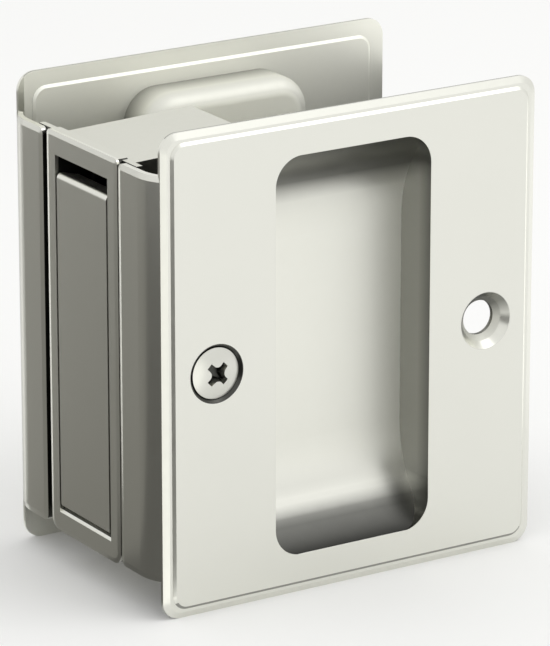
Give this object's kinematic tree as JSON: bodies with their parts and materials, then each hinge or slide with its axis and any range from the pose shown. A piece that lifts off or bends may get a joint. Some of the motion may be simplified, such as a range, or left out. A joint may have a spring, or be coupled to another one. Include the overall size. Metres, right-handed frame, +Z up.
{
  "type": "pocket door lock",
  "caption": "Pocket door passage set in plain plated metal: cupped face plates join over the door's edge around a case whose edge pull swings out on a cross pin.",
  "frame": {"origin": "middle of the footprint on the plane of the plates' lower edges", "axes": "+Z up along the door's edge, -X out of the door's edge where the pull shows, -Y the outward normal of the front plate"},
  "size_m": [0.0742, 0.049, 0.0825],
  "materials": {
    "plated_casting": "polished nickel plate on cast brass",
    "plated_case": "polished nickel plate on brass",
    "screw_steel": "nickel-plated steel",
    "inner_steel": "plain steel"
  },
  "bodies": {
    "case": {"front_plate": "plated_casting", "front_case_screw": "screw_steel", "edge_case": "plated_case", "pull_pivot_pin": "inner_steel", "pull_catch_spring": "inner_steel"},
    "rear_side": {"back_plate": "plated_casting", "back_case_screw": "screw_steel"},
    "pull": {"edge_pull": "plated_case"}
  },
  "joints": [
    {"name": "edge_pull_swing", "type": "hinge", "parent": "case", "child": "pull", "pos_m": [-0.03385, -0.00063, 0.01893], "axis": [0, -1, 0], "range_deg": [0, 90], "deforming": ["pull_catch_spring"]},
    {"name": "back_plate_adjust", "type": "slide", "parent": "case", "child": "rear_side", "axis": [0, -1, 0], "range_m": [0, 0.00125]}
  ]
}
